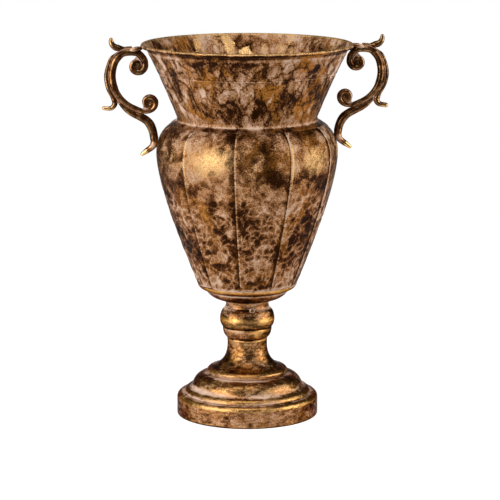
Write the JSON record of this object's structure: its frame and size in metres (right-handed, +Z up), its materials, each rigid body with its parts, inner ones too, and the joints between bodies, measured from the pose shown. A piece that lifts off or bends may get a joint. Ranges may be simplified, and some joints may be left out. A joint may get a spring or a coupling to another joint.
{
  "type": "metal flower pot",
  "caption": "Antiqued bronze urn flower pot with a flared neck, a panelled hammered bowl, scroll handles and a stepped pedestal foot.",
  "frame": {"origin": "middle of the bounding box at the level of the ground, on the axis of the base", "axes": "+Z up along the pot's axis, +X towards the right handle seen from the front, -Y towards the viewer"},
  "size_m": [0.2979, 0.2206, 0.3999],
  "materials": {
    "hammered_bronze": "hammered sheet, brown patina with a pale wash in the hollows, rubbed to gold on the high places",
    "spun_bronze": "burnished shells, brown patina rubbed to gold, pale wash left in the grooves",
    "cast_bronze": "dark brown patina on bent bars, tips rubbed to gold",
    "wire_steel": "drawn wire, hidden in the rolled rim",
    "rod_steel": "plain turned steel with a dull grey bloom"
  },
  "bodies": {
    "root": {"neck_upper_band": "hammered_bronze", "neck_lower_band": "hammered_bronze", "bowl_panel_01": "hammered_bronze", "bowl_panel_02": "hammered_bronze", "bowl_panel_03": "hammered_bronze", "bowl_panel_04": "hammered_bronze", "bowl_panel_05": "hammered_bronze", "bowl_panel_06": "hammered_bronze", "bowl_panel_07": "hammered_bronze", "bowl_panel_08": "hammered_bronze", "bowl_panel_09": "hammered_bronze", "bowl_panel_10": "hammered_bronze", "bowl_cup": "spun_bronze", "stem_socket": "spun_bronze", "stem_knop": "spun_bronze", "stem_ring": "spun_bronze", "stem_trumpet": "spun_bronze", "foot_dome": "spun_bronze", "base_plinth": "spun_bronze", "socket_pin": "cast_bronze", "left_handle_scroll": "cast_bronze", "left_handle_top_leaf": "cast_bronze", "left_handle_outer_leaf": "cast_bronze", "left_handle_leg": "cast_bronze", "left_rim_stud": "cast_bronze", "left_shoulder_rivet": "cast_bronze", "right_handle_scroll": "cast_bronze", "right_handle_top_leaf": "cast_bronze", "right_handle_outer_leaf": "cast_bronze", "right_handle_leg": "cast_bronze", "right_rim_stud": "cast_bronze", "right_shoulder_rivet": "cast_bronze", "rim_wire": "wire_steel", "tie_rod": "rod_steel", "bowl_washer": "rod_steel", "bowl_nut": "rod_steel", "base_plate": "rod_steel", "base_nut": "rod_steel"}
  },
  "joints": []
}
